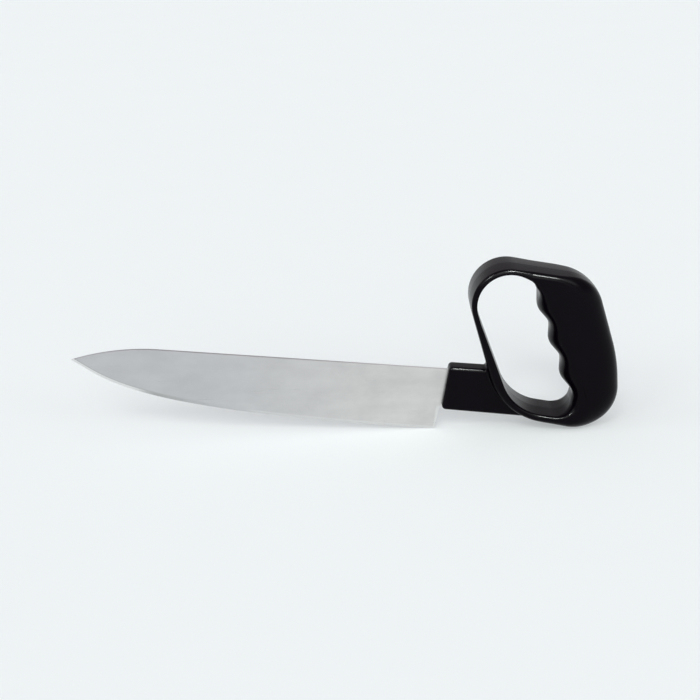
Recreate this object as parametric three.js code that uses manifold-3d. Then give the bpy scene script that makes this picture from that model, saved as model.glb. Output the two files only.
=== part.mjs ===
// Carving knife with an upright loop handle, standing on the heel of its edge and the foot of its grip.
// Millimetres, +Z up. +X runs from the tip to the handle, and the near side faces -Y.
// Pieces are drawn in the blade's frame: the heel of the edge is at the origin and the spine runs along X.
// The knife group then tips them all down on to the two feet.

import * as THREE from 'three';
import { mergeVertices } from 'three/addons/utils/BufferGeometryUtils.js';
import Module from 'manifold-3d';

const wasm = await Module();
wasm.setup();

// Blade: a stamped blank, ground flat from spine to edge and then bevelled
const BLADE_LENGTH = 200;
const BLADE_HEIGHT = 35.7;
const SPINE_THICKNESS = 1.6;
const SHOULDER_THICKNESS = 0.6;
const BEVEL_WIDTH = 1.6;
const EDGE_THICKNESS = 0.12;
const TIP_DROP = 9.1;
const NOSE_LENGTH = 47.6;
const BELLY_START = 28.9;
const BELLY_END = { back: 20.2, down: 9.9 };
const HEEL_SETBACK = 2.6;

// Tang, and the two dowels that hold it
const TANG_LENGTH = 22;
const TANG_HEIGHT = 19;
const TANG_CORNER = 3;
const PIN_DIAMETER = 4;
const PIN_LENGTH = 8;
const FRONT_PIN_PLACE = 7;
const REAR_PIN_PLACE = 17;

// Handle block, measured from where the handle starts on the spine line
const HANDLE_START = 5.2;
const BLOCK_THICKNESS = 10.4;
const BLOCK_ABOVE_SPINE = 2.7;
const BLOCK_HEIGHT = 25;
const BLOCK_FRONT_LEAN = 4.9;
const BLOCK_TOE_ANGLE = -75;
const BLOCK_EDGE_RADIUS = 1.8;
const BLOCK_SIDE_CORNER = 0.4;
const BLOCK_FILLET = 2.4;

// Handle loop: its corners and their radii, clockwise, measured from the same point as the block.
// Its edges are rounded by a share of the strap's thickness, up to a largest radius,
// and two roundings that face each other leave some flat side between them.
const HANDLE_WIDTH = 26.4;
const OUTER_EDGE_SHARE = 0.45;
const INNER_EDGE_SHARE = 0.25;
const LARGEST_EDGE_RADIUS = 2;
const LARGEST_ROUNDED_SHARE = 0.9;
const MOULD_DRAFT = 1.2;
const OUTSIDE = {
  underBlock: { x: 29.2, z: -18.9, r: 37.2 },
  strapFront: { x: 8.7, z: 35.2, r: 31.8 },
  knuckle: { x: -1, z: 65.9, r: 20.9 },
  shoulder: { x: 73.8, z: 59.3, r: 23.9 },
  palm: { x: 91.4, z: 14.1, r: 92 },
  foot: { x: 98.4, z: -33.2, r: 22.2 },
};
const OPENING = {
  lowerFront: { x: 36.2, z: -17.2, r: 26.3 },
  knuckleFront: { x: 13.6, z: 31.2, r: 34.8 },
  upperFront: { x: -2.8, z: 73.8, r: 17.5 },
  gripTop: { x: 39.7, z: 56.3, r: 6.9 },
  gripFoot: { x: 73.3, z: -20.6, r: 8.8 },
};
const OPENING_CENTRE = { x: 39.4, z: 20.8 };

// Grip: how deep its edges round over and across what share of its half width,
// and the directions between which the strap grows into it
const GRIP_BACK_ROUND = { depth: 14.5, share: 0.89 };
const GRIP_FRONT_ROUND = { depth: 7.5, share: 0.62 };
const GRIP_BACK_SPAN = { topStart: 74, topEnd: 33, bottomEnd: -45, bottomStart: -79 };
const GRIP_FRONT_SPAN = { topStart: 92, topEnd: 70, bottomEnd: -38, bottomStart: -62 };

// Finger grooves down the front of the grip
const FINGER_PITCH = 20.6;
const FINGER_CRESTS = 3;
const FIRST_CREST = 17;
const GROOVE_DEPTH = 2.9;
const GROOVE_FADE = 6;
const GROOVE_AT_SIDE = 0.25;

// How the two handle mouldings meet each other and hold the tang
const PARTING_GAP = 0.1;
const FIT_GAP = 0.3;
const SPIGOT_DIAMETER = 6;
const SPIGOT_LENGTH = 6;
const SPIGOT_ROOT = 3;
const SPIGOT_CHAMFER = 0.8;
const SPIGOT_ANGLES = [22, -26];

// Facets, and how far cutting bodies run past what they cut
const LOOP_STATIONS = 120;
const OUTLINE_STEPS = 768;
const ROUND_STEPS = 5;
const CORNER_STEPS = 4;
const NOSE_STEPS = 14;
const FILLET_STEPS = 12;
const EDGE_STEPS = 40;
const PIN_SIDES = 24;
const FILLET_SINK = 0.1;
const FILLET_ROOT = 1.2;
const OVERRUN = 5;

// Finishes
const SATIN_STEEL = new THREE.MeshStandardMaterial({ color: 0xc4c6c4, roughness: 0.38, metalness: 1 });
const BRIGHT_STEEL = new THREE.MeshStandardMaterial({ color: 0xb4b6b8, roughness: 0.25, metalness: 1 });
const BLACK_PLASTIC = new THREE.MeshStandardMaterial({ color: 0x17161a, roughness: 0.4, metalness: 0 });

const { degToRad, radToDeg, lerp, smoothstep, clamp } = THREE.MathUtils;

// Solid helpers

function solidOf(geometry) {
  geometry.deleteAttribute('normal');
  geometry.deleteAttribute('uv');
  const merged = mergeVertices(geometry);
  const corners = merged.index.array;
  const triangles = [];
  for (let i = 0; i < corners.length; i += 3) {
    const [a, b, c] = corners.slice(i, i + 3);
    if (a !== b && b !== c && c !== a) triangles.push(a, b, c);
  }
  return new wasm.Manifold(new wasm.Mesh({
    numProp: 3,
    vertProperties: new Float32Array(merged.attributes.position.array),
    triVerts: new Uint32Array(triangles),
  }));
}

function meshOf(name, solid, material) {
  const { vertProperties, triVerts } = solid.getMesh();
  const geometry = new THREE.BufferGeometry();
  geometry.setAttribute('position', new THREE.BufferAttribute(vertProperties, 3));
  geometry.setIndex(new THREE.BufferAttribute(triVerts, 1));
  geometry.computeVertexNormals();
  const mesh = new THREE.Mesh(geometry, material);
  mesh.name = name;
  return mesh;
}

// Skins a row of rings that hold the same number of points.
// The last ring joins the first when endless is set; otherwise both ends get a flat cap.
function loft(rings, endless) {
  const size = rings[0].length;
  const count = rings.length;
  const index = [];
  for (let i = 0; i < (endless ? count : count - 1); i += 1) {
    const here = i * size;
    const next = ((i + 1) % count) * size;
    for (let j = 0; j < size; j += 1) {
      const k = (j + 1) % size;
      index.push(here + j, here + k, next + k, here + j, next + k, next + j);
    }
  }
  const last = (count - 1) * size;
  for (let j = 1; !endless && j < size - 1; j += 1) {
    index.push(0, j + 1, j, last, last + j, last + j + 1);
  }
  const geometry = new THREE.BufferGeometry().setFromPoints(rings.flat());
  geometry.setIndex(index);
  return solidOf(geometry);
}

// A side view extruded across the knife and centred on the middle plane.
function slab(shape, thickness) {
  const geometry = new THREE.ExtrudeGeometry(shape, {
    depth: thickness,
    curveSegments: PIN_SIDES / 2,
    bevelEnabled: false,
  });
  geometry.translate(0, 0, -thickness / 2);
  geometry.rotateX(Math.PI / 2);
  return solidOf(geometry);
}

// A round rod across the knife, between two distances from the middle plane.
function rodAcross(place, radius, from, to) {
  const geometry = new THREE.CylinderGeometry(radius, radius, to - from, PIN_SIDES);
  geometry.translate(place.x, (from + to) / 2, place.y);
  return solidOf(geometry);
}

// A box between two corners.
function boxBetween(low, high) {
  const size = new THREE.Vector3().subVectors(high, low);
  const geometry = new THREE.BoxGeometry(size.x, size.y, size.z);
  const centre = new THREE.Vector3().addVectors(low, high).multiplyScalar(0.5);
  geometry.translate(centre.x, centre.y, centre.z);
  return solidOf(geometry);
}

function arc(x, z, radius, from, to, steps) {
  return new THREE.EllipseCurve(x, z, radius, radius, from, to, to < from).getPoints(steps);
}

// Blade

const tip = new THREE.Vector2(-BLADE_LENGTH, BLADE_HEIGHT - TIP_DROP);
const tangEnd = HANDLE_START + TANG_LENGTH;
const tangBottom = BLADE_HEIGHT - TANG_HEIGHT;
const pinPlaces = [FRONT_PIN_PLACE, REAR_PIN_PLACE].map((place) => {
  return new THREE.Vector2(HANDLE_START + place, BLADE_HEIGHT - TANG_HEIGHT / 2);
});

const cuttingEdge = new THREE.CubicBezierCurve(
  tip,
  new THREE.Vector2(tip.x + BELLY_END.back, tip.y - BELLY_END.down),
  new THREE.Vector2(tip.x + BELLY_START, 0),
  new THREE.Vector2(0, 0),
);

function bladeOutline() {
  const right = Math.PI / 2;
  const noseRadius = (NOSE_LENGTH ** 2 + TIP_DROP ** 2) / (2 * TIP_DROP);
  const noseX = tip.x + NOSE_LENGTH;
  const noseZ = BLADE_HEIGHT - noseRadius;
  const noseEnd = Math.atan2(tip.y - noseZ, tip.x - noseX);
  const heelSlope = (HANDLE_START - HEEL_SETBACK) / tangBottom;
  const underTang = new THREE.Vector2(tangBottom * heelSlope, tangBottom);
  const handleMouth = new THREE.Vector2(HANDLE_START - BLOCK_EDGE_RADIUS / 2, tangBottom);
  const heelTop = tangBottom - handleMouth.distanceTo(underTang);
  const heelNotch = new THREE.QuadraticBezierCurve(
    new THREE.Vector2(heelTop * heelSlope, heelTop),
    underTang,
    handleMouth,
  );
  const innerX = tangEnd - TANG_CORNER;
  const shape = new THREE.Shape([
    ...cuttingEdge.getPoints(EDGE_STEPS),
    ...heelNotch.getPoints(CORNER_STEPS),
    ...arc(innerX, tangBottom + TANG_CORNER, TANG_CORNER, -right, 0, CORNER_STEPS),
    ...arc(innerX, BLADE_HEIGHT - TANG_CORNER, TANG_CORNER, 0, right, CORNER_STEPS),
    ...arc(noseX, noseZ, noseRadius, right, noseEnd, NOSE_STEPS).slice(0, -1),
  ]);
  shape.holes = pinPlaces.map(({ x, y }) => {
    return new THREE.Path().absarc(x, y, PIN_DIAMETER / 2 + FIT_GAP, 0, 2 * Math.PI);
  });
  return shape;
}

// Half the thickness that the flat grind leaves at a height above the heel.
function groundHalf(height) {
  return lerp(SHOULDER_THICKNESS, SPINE_THICKNESS, height / BLADE_HEIGHT) / 2;
}

// What the flat grind takes off one side. It ends inside the handle block.
function grindWaste(side) {
  const low = -OVERRUN;
  const high = BLADE_HEIGHT;
  const section = [
    [groundHalf(low), low],
    [SPINE_THICKNESS, low],
    [SPINE_THICKNESS, high],
    [groundHalf(high), high],
  ];
  const rings = [tip.x - OVERRUN, HANDLE_START + OVERRUN].map((x) => {
    const ring = section.map(([y, z]) => new THREE.Vector3(x, side * y, z));
    return side < 0 ? ring.reverse() : ring;
  });
  return loft(rings, false);
}

// What sharpening takes off one side, swept along the cutting edge and past both its ends.
function bevelWaste(side) {
  const rings = [];
  for (let i = -1; i <= EDGE_STEPS + 1; i += 1) {
    const t = clamp(i / EDGE_STEPS, 0, 1);
    const along = cuttingEdge.getTangent(t);
    const past = OVERRUN * (i - t * EDGE_STEPS);
    const foot = cuttingEdge.getPoint(t).addScaledVector(along, past);
    const inward = new THREE.Vector2(-along.y, along.x);
    const shoulder = groundHalf(foot.y + BEVEL_WIDTH * inward.y);
    const rise = (shoulder - EDGE_THICKNESS / 2) / BEVEL_WIDTH;
    const bevelAt = (depth) => EDGE_THICKNESS / 2 + depth * rise;
    const section = [
      [-BEVEL_WIDTH, bevelAt(-BEVEL_WIDTH)],
      [-BEVEL_WIDTH, OVERRUN],
      [2 * BEVEL_WIDTH, OVERRUN],
      [2 * BEVEL_WIDTH, bevelAt(2 * BEVEL_WIDTH)],
    ];
    const ring = section.map(([depth, y]) => {
      const place = foot.clone().addScaledVector(inward, depth);
      return new THREE.Vector3(place.x, side * y, place.y);
    });
    rings.push(side < 0 ? ring.reverse() : ring);
  }
  return loft(rings, false);
}

function bladeSolid() {
  let blade = slab(bladeOutline(), SPINE_THICKNESS);
  for (const side of [-1, 1]) {
    blade = blade.subtract(grindWaste(side)).subtract(bevelWaste(side));
  }
  return blade;
}

// Handle loop

function handlePoint({ x, z }) {
  return new THREE.Vector2(HANDLE_START + x, BLADE_HEIGHT + z);
}

const openingCentre = handlePoint(OPENING_CENTRE);

// The arc that rounds off the corner between two straight runs.
function cornerArc(before, here, after, radius) {
  const back = before.clone().sub(here).normalize();
  const ahead = after.clone().sub(here).normalize();
  const half = Math.acos(back.dot(ahead)) / 2;
  const centre = back.clone().add(ahead).setLength(radius / Math.sin(half)).add(here);
  const start = back.setLength(radius / Math.tan(half)).add(here).sub(centre);
  const end = ahead.setLength(radius / Math.tan(half)).add(here).sub(centre);
  const clockwise = start.cross(end) < 0;
  return new THREE.EllipseCurve(centre.x, centre.y, radius, radius, start.angle(), end.angle(), clockwise);
}

// A closed outline of straight runs and rounded corners.
function roundedOutline(corners) {
  const points = corners.map(handlePoint);
  const arcs = corners.map(({ r }, i) => {
    return cornerArc(points.at(i - 1), points[i], points[(i + 1) % points.length], r);
  });
  const outline = new THREE.CurvePath();
  arcs.forEach((curve, i) => {
    outline.add(curve);
    outline.add(new THREE.LineCurve(curve.getPoint(1), arcs[(i + 1) % arcs.length].getPoint(0)));
  });
  return outline;
}

// The direction of a point from the opening's centre, in degrees.
function loopAngle(point) {
  return radToDeg(Math.atan2(point.y - openingCentre.y, point.x - openingCentre.x));
}

// Where an outline crosses the ray from the opening's centre through a point.
function onRay(outline, point) {
  const ray = point.clone().sub(openingCentre);
  const crossing = outline.findIndex((a, i) => {
    const from = a.clone().sub(openingCentre);
    const to = outline[(i + 1) % outline.length].clone().sub(openingCentre);
    return ray.cross(from) * ray.cross(to) <= 0 && ray.dot(from) > 0;
  });
  const from = outline[crossing].clone().sub(openingCentre);
  const to = outline[(crossing + 1) % outline.length].clone().sub(openingCentre);
  return from.lerp(to, ray.cross(from) / (ray.cross(from) - ray.cross(to))).add(openingCentre);
}

const opening = roundedOutline(Object.values(OPENING)).getSpacedPoints(LOOP_STATIONS).slice(0, -1);
const outsideFine = roundedOutline(Object.values(OUTSIDE)).getSpacedPoints(OUTLINE_STEPS).slice(0, -1);
const outside = opening.map((point) => onRay(outsideFine, point));
const middle = opening.map((point, i) => point.clone().lerp(outside[i], 0.5));

// Unit normals of a clockwise ring of points, pointing away from the loop's centre.
function ringNormals(ring) {
  return ring.map((_, i) => {
    const along = ring[(i + 1) % ring.length].clone().sub(ring.at(i - 1)).normalize();
    return new THREE.Vector2(-along.y, along.x);
  });
}

// 0 on the strap and 1 on the grip.
function gripShare(point, span) {
  const angle = loopAngle(point);
  const fromTop = 1 - smoothstep(angle, span.topEnd, span.topStart);
  const fromBottom = smoothstep(angle, span.bottomStart, span.bottomEnd);
  return fromTop * fromBottom;
}

// How far the finger crests stand out of the grip's smooth front at a point on the opening.
function crestHeight(point) {
  const gripTop = handlePoint(OPENING.gripTop);
  const gripRun = handlePoint(OPENING.gripFoot).sub(gripTop).normalize();
  const offset = point.clone().sub(gripTop);
  const fromCrest = offset.dot(gripRun) - FIRST_CREST;
  const first = -FINGER_PITCH / 2;
  const last = (FINGER_CRESTS - 0.5) * FINGER_PITCH;
  const rise = smoothstep(fromCrest, first - GROOVE_FADE, first);
  const fall = 1 - smoothstep(fromCrest, last, last + GROOVE_FADE);
  const isFront = Math.abs(offset.cross(gripRun)) < FINGER_PITCH / 2;
  const wave = Math.cos(2 * Math.PI * fromCrest / FINGER_PITCH);
  return isFront ? rise * fall * wave * GROOVE_DEPTH / 2 : 0;
}

// One rounded corner of the loop's section, from its wall to its flat side.
// The wall falls away from the parting plane by the mould draft.
function sectionCorner(point, inward, depth, width, crest, side) {
  const fall = Math.tan(degToRad(MOULD_DRAFT));
  return Array.from({ length: ROUND_STEPS + 1 }, (_, step) => {
    const turn = (step / ROUND_STEPS) * Math.PI / 2;
    const groove = crest * lerp(1, GROOVE_AT_SIDE, Math.sin(turn));
    const across = HANDLE_WIDTH / 2 - width * (1 - Math.sin(turn));
    const sunk = depth * (1 - Math.cos(turn)) - groove + across * fall;
    const place = point.clone().addScaledVector(inward, sunk);
    return new THREE.Vector3(place.x, side * across, place.y);
  });
}

function loopSolid() {
  const openingNormals = ringNormals(opening);
  const outsideNormals = ringNormals(outside).map((normal) => normal.negate());
  const rings = opening.map((inner, i) => {
    const outer = outside[i];
    const back = gripShare(outer, GRIP_BACK_SPAN);
    const front = gripShare(inner, GRIP_FRONT_SPAN);
    const crest = crestHeight(inner);
    const thickness = inner.clone().sub(outer).dot(outsideNormals[i]);
    const outerEdge = Math.min(OUTER_EDGE_SHARE * thickness, LARGEST_EDGE_RADIUS);
    const innerEdge = Math.min(INNER_EDGE_SHARE * thickness, LARGEST_EDGE_RADIUS);
    const outerDepth = lerp(outerEdge, GRIP_BACK_ROUND.depth, back);
    const innerDepth = lerp(innerEdge, GRIP_FRONT_ROUND.depth, front);
    const outerWidth = lerp(outerEdge, GRIP_BACK_ROUND.share * HANDLE_WIDTH / 2, back);
    const innerWidth = lerp(innerEdge, GRIP_FRONT_ROUND.share * HANDLE_WIDTH / 2, front);
    const room = Math.min(1, LARGEST_ROUNDED_SHARE * thickness / (outerDepth + innerDepth));
    const outerCorner = (side) => {
      return sectionCorner(outer, outsideNormals[i], room * outerDepth, outerWidth, 0, side);
    };
    const innerCorner = (side) => {
      return sectionCorner(inner, openingNormals[i], room * innerDepth, innerWidth, crest, side);
    };
    const innerRidge = inner.clone().addScaledVector(openingNormals[i], -crest);
    return [
      ...outerCorner(-1),
      ...innerCorner(-1).reverse(),
      new THREE.Vector3(innerRidge.x, 0, innerRidge.y),
      ...innerCorner(1),
      ...outerCorner(1).reverse(),
      new THREE.Vector3(outer.x, 0, outer.y),
    ];
  });
  return loft(rings, true);
}

// Handle block

const blockTop = BLADE_HEIGHT + BLOCK_ABOVE_SPINE;
const blockBottom = blockTop - BLOCK_HEIGHT;

// The block's side view, drawn in by an inset along its front, top and bottom.
// Its back runs inside the strap, from the toe up to the block's top.
function blockProfile(inset) {
  const lean = Math.tan(degToRad(BLOCK_FRONT_LEAN));
  const top = blockTop - inset;
  const bottom = blockBottom + inset;
  const frontTop = new THREE.Vector2(HANDLE_START + BLOCK_ABOVE_SPINE * lean + inset, top);
  const frontBottom = new THREE.Vector2(frontTop.x - (top - bottom) * lean, bottom);
  const right = new THREE.Vector2(1, 0);
  const toeRay = right.add(openingCentre).rotateAround(openingCentre, degToRad(BLOCK_TOE_ANGLE));
  const toe = onRay(outsideFine, toeRay);
  const insideStrap = middle.filter((p) => p.y < blockTop - BLOCK_EDGE_RADIUS && p.x < toe.x);
  const back = insideStrap.sort((a, b) => b.x - a.x);
  const topBack = new THREE.Vector2(back.at(-1).x, top);
  const toeInset = new THREE.Vector2(toe.x, toe.y + inset);
  const radius = BLOCK_SIDE_CORNER + BLOCK_EDGE_RADIUS - inset;
  return [
    ...cornerArc(frontTop, frontBottom, toeInset, radius).getPoints(CORNER_STEPS),
    toeInset,
    ...back,
    topBack,
    ...cornerArc(topBack, frontTop, frontBottom, radius).getPoints(CORNER_STEPS),
  ];
}

function blockSolid() {
  const rounding = Array.from({ length: CORNER_STEPS + 1 }, (_, i) => (i / CORNER_STEPS) * Math.PI / 2);
  const farSide = rounding.map((turn) => {
    const y = BLOCK_THICKNESS / 2 - BLOCK_EDGE_RADIUS * (1 - Math.sin(turn));
    const profile = blockProfile(BLOCK_EDGE_RADIUS * (1 - Math.cos(turn)));
    return profile.map((place) => new THREE.Vector3(place.x, y, place.y));
  });
  const nearSide = farSide.map((ring) => ring.map((p) => new THREE.Vector3(p.x, -p.y, p.z))).reverse();
  return loft([...nearSide, ...farSide].reverse(), false);
}

// The point of the strap's outer face at a height, with the direction up along that face.
function strapFace(height) {
  const above = outsideFine.find((p, i) => p.y >= height && outsideFine.at(i - 1).y < height);
  const below = outsideFine.at(outsideFine.indexOf(above) - 1);
  const share = (height - below.y) / (above.y - below.y);
  return { point: below.clone().lerp(above, share), up: above.clone().sub(below).normalize() };
}

// Concave fillet where the sides and top of the block run into the strap.
function filletSolid() {
  const half = BLOCK_THICKNESS / 2;
  const lowest = blockBottom + BLOCK_EDGE_RADIUS;
  const shoulder = blockTop - BLOCK_EDGE_RADIUS;
  const path = [];
  for (let i = 0; i < FILLET_STEPS; i += 1) {
    path.push({ z: lerp(lowest, shoulder, i / FILLET_STEPS), y: half, turn: 0 });
  }
  for (let i = 0; i <= CORNER_STEPS; i += 1) {
    const turn = (i / CORNER_STEPS) * Math.PI / 2;
    const y = half - BLOCK_EDGE_RADIUS * (1 - Math.cos(turn));
    path.push({ z: shoulder + BLOCK_EDGE_RADIUS * Math.sin(turn), y, turn });
  }
  const otherSide = path.map(({ z, y, turn }) => ({ z, y: -y, turn: Math.PI - turn })).reverse();
  const forward = new THREE.Vector3(-1, 0, 0);
  const rings = [...path, ...otherSide].map(({ z, y, turn }) => {
    const { point, up } = strapFace(z);
    const root = new THREE.Vector3(point.x, y, point.y);
    const away = new THREE.Vector3(up.x * Math.sin(turn), Math.cos(turn), up.y * Math.sin(turn));
    const onStrap = root.clone().addScaledVector(away, BLOCK_FILLET).addScaledVector(forward, -FILLET_SINK);
    const onBlock = root.clone().addScaledVector(forward, BLOCK_FILLET).addScaledVector(away, -FILLET_SINK);
    const hollow = new THREE.QuadraticBezierCurve3(onStrap, root, onBlock);
    const behind = root.clone().addScaledVector(forward, -FILLET_ROOT);
    const inside = behind.addScaledVector(away, -FILLET_ROOT);
    return [inside, ...hollow.getPoints(CORNER_STEPS)];
  });
  return loft(rings, false);
}

// Handle mouldings

// The slot for the tang and the blind bores for its dowels.
function tangSpace() {
  const halfSlot = SPINE_THICKNESS / 2 + FIT_GAP;
  const slot = boxBetween(
    new THREE.Vector3(HANDLE_START - OVERRUN, -halfSlot, tangBottom - FIT_GAP),
    new THREE.Vector3(tangEnd + FIT_GAP, halfSlot, BLADE_HEIGHT + FIT_GAP),
  );
  const reach = PIN_LENGTH / 2 + FIT_GAP;
  return pinPlaces.reduce((space, place) => {
    return space.add(rodAcross(place, PIN_DIAMETER / 2 + FIT_GAP, -reach, reach));
  }, slot);
}

const spigotPlaces = SPIGOT_ANGLES.map((angle) => {
  return middle.reduce((best, point) => {
    return Math.abs(loopAngle(point) - angle) < Math.abs(loopAngle(best) - angle) ? point : best;
  });
});

// A moulded peg with a chamfered end, rooted in the near half.
function spigotSolid(place) {
  const radius = SPIGOT_DIAMETER / 2;
  const geometry = new THREE.LatheGeometry([
    new THREE.Vector2(0, -SPIGOT_ROOT),
    new THREE.Vector2(radius, -SPIGOT_ROOT),
    new THREE.Vector2(radius, SPIGOT_LENGTH - SPIGOT_CHAMFER),
    new THREE.Vector2(radius - SPIGOT_CHAMFER, SPIGOT_LENGTH),
    new THREE.Vector2(0, SPIGOT_LENGTH),
  ], PIN_SIDES);
  geometry.translate(place.x, 0, place.y);
  return solidOf(geometry);
}

// All the space on one side of the parting plane.
function sideOfParting(side) {
  const reach = 2 * BLADE_LENGTH;
  const inner = side * PARTING_GAP / 2;
  const outer = side * HANDLE_WIDTH;
  return boxBetween(
    new THREE.Vector3(-reach, Math.min(inner, outer), -reach),
    new THREE.Vector3(reach, Math.max(inner, outer), reach),
  );
}

function handleHalves() {
  const handle = loopSolid().add(blockSolid()).add(filletSolid()).subtract(tangSpace());
  let near = handle.intersect(sideOfParting(-1));
  let far = handle.intersect(sideOfParting(1));
  for (const place of spigotPlaces) {
    near = near.add(spigotSolid(place));
    const socket = rodAcross(place, SPIGOT_DIAMETER / 2 + FIT_GAP, -FIT_GAP, SPIGOT_LENGTH + FIT_GAP);
    far = far.subtract(socket);
  }
  return { near, far };
}

// Assembly: the knife leans back until the foot of the grip is level with the heel of the edge.

const underGrip = outsideFine.filter((point) => point.x > openingCentre.x);
const restLean = Math.min(...underGrip.map((point) => Math.atan2(point.y, point.x)));
const { near, far } = handleHalves();
const [pinFront, pinRear] = pinPlaces.map((place) => {
  return rodAcross(place, PIN_DIAMETER / 2, -PIN_LENGTH / 2, PIN_LENGTH / 2);
});

const knife = new THREE.Group();
knife.rotation.y = restLean;
knife.add(
  meshOf('blade', bladeSolid(), SATIN_STEEL),
  meshOf('handle_half_near', near, BLACK_PLASTIC),
  meshOf('handle_half_far', far, BLACK_PLASTIC),
  meshOf('tang_pin_front', pinFront, BRIGHT_STEEL),
  meshOf('tang_pin_rear', pinRear, BRIGHT_STEEL),
);

const part = new THREE.Group();
part.add(knife);
part.updateMatrixWorld(true);
const box = new THREE.Box3().setFromObject(part, true);
knife.position.set(-(box.min.x + box.max.x) / 2, 0, -box.min.z);

export default part;
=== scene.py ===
"""Kitchen knife with an upright loop handle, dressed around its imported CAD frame.

Sizes are in millimetres in the blade's own frame: the heel of the edge is at the
origin, the spine runs along X and the near side faces -Y. RestPose tips that frame
on to the heel and the foot of the grip, and turns it to metres.
"""

import logging
import math
from dataclasses import dataclass, field
from enum import Enum
from typing import Any

import bpy
import numpy as np
from bpy.types import Material, Mesh, Node, NodeSocket, NodeTree, Object
from mathutils import Matrix, Vector


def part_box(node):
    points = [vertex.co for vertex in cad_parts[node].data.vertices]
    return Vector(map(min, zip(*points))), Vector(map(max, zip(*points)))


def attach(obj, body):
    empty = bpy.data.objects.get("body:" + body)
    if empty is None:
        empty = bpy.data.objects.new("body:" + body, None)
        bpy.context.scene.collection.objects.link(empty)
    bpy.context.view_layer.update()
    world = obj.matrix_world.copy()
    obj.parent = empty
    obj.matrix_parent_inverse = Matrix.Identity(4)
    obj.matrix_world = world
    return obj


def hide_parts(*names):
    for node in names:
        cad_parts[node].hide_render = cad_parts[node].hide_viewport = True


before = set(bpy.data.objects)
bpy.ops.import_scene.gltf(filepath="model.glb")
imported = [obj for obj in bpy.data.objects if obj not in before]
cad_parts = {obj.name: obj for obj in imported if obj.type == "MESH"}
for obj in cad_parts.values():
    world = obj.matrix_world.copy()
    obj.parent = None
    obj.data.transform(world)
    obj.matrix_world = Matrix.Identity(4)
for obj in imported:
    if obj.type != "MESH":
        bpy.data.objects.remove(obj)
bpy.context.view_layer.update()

LOG = logging.getLogger("knife")
MM = 0.001
BODY = "root"
GRIND_PLACE = "grind_place"
IMAGE_SIDE = 700
FEWEST_ARC_POINTS = 3
# Most of a noise pattern lies between these.
NOISE_LOW = 0.3
NOISE_HIGH = 0.7
# Just over 1, so that rounding up doesn't add a step.
STEP_SLACK = 1.0001


# Shared helpers


class Side(Enum):
    """The two sides of the parting plane, as the sign of their Y."""

    NEAR = -1
    FAR = 1


def linear(hex_colour: str) -> tuple[float, float, float, float]:
    """Turns an sRGB hex colour to linear red, green, blue and alpha.

    Args:
        hex_colour: a colour such as "#c4c6c4".

    Returns:
        The linear colour, with alpha 1.
    """
    channels = [int(hex_colour[i:i + 2], 16) / 255 for i in (1, 3, 5)]
    red, green, blue = (
        c / 12.92 if c <= 0.04045 else ((c + 0.055) / 1.055) ** 2.4 for c in channels
    )
    return red, green, blue, 1.0


def add_node(tree: NodeTree, kind: str, inputs: dict[Any, Any], **settings: Any) -> Node:
    """Adds one node, with its settings, its values and what is linked to it.

    Args:
        tree: the node tree.
        kind: the node's type name.
        inputs: socket name or number to a value, or to the output socket or figure that feeds it.
        settings: the node's own properties.

    Returns:
        The new node.
    """
    node = tree.nodes.new(kind)
    for name, value in settings.items():
        setattr(node, name, value)
    for key, value in inputs.items():
        source = value.socket if isinstance(value, Figure) else value
        if isinstance(source, NodeSocket):
            tree.links.new(source, node.inputs[key])
        else:
            node.inputs[key].default_value = source
    return node


class Figure:
    """A number in a node tree, on which sums are written as in plain code."""

    def __init__(self, tree: NodeTree, socket: NodeSocket) -> None:
        """Keeps the tree and the output socket that gives the number."""
        self.tree = tree
        self.socket = socket

    @classmethod
    def of_vector(cls, tree: NodeTree, vector: NodeSocket) -> list["Figure"]:
        """The x, y and z of a vector."""
        parts = add_node(tree, "ShaderNodeSeparateXYZ", {0: vector})
        return [cls(tree, part) for part in parts.outputs]

    def work_out(self, operation: str, *others: Any) -> "Figure":
        """Works out an operation on this number and others.

        Args:
            operation: what the math node does.
            others: plain numbers or figures.

        Returns:
            The result.
        """
        values = dict(enumerate((self, *others)))
        node = add_node(self.tree, "ShaderNodeMath", values, operation=operation)
        return Figure(self.tree, node.outputs[0])

    def __add__(self, other: Any) -> "Figure":
        """The sum."""
        return self.work_out("ADD", other)

    def __sub__(self, other: Any) -> "Figure":
        """The difference."""
        return self.work_out("SUBTRACT", other)

    def __mul__(self, other: Any) -> "Figure":
        """The product."""
        return self.work_out("MULTIPLY", other)

    def __truediv__(self, other: Any) -> "Figure":
        """The quotient."""
        return self.work_out("DIVIDE", other)

    def __pow__(self, power: Any) -> "Figure":
        """The power."""
        return self.work_out("POWER", power)

    def __gt__(self, other: Any) -> "Figure":
        """1 where this number is the higher one, and 0 elsewhere."""
        return self.work_out("GREATER_THAN", other)

    def least(self, other: Any) -> "Figure":
        """The lower of two numbers."""
        return self.work_out("MINIMUM", other)

    def most(self, other: Any) -> "Figure":
        """The higher of two numbers."""
        return self.work_out("MAXIMUM", other)


def seen_directly(tree: NodeTree) -> NodeSocket:
    """Tells what the camera and reflections see from what lights matt surfaces.

    Args:
        tree: the node tree of a material or of the world.

    Returns:
        1 for the camera and for reflections, and 0 for other light.
    """
    ray = add_node(tree, "ShaderNodeLightPath", {}).outputs
    seen = ray["Is Camera Ray"]
    for kind in ("Is Glossy Ray", "Is Transmission Ray"):
        either = {0: seen, 1: ray[kind]}
        seen = add_node(tree, "ShaderNodeMath", either, operation="MAXIMUM").outputs[0]
    return seen


def show(mesh: Mesh, name: str) -> Object:
    """Puts a mesh in the scene as an object at the origin.

    Args:
        mesh: the mesh.
        name: the object's name.

    Returns:
        The object.
    """
    piece = bpy.data.objects.new(name, mesh)
    bpy.context.scene.collection.objects.link(piece)
    return piece


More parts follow.
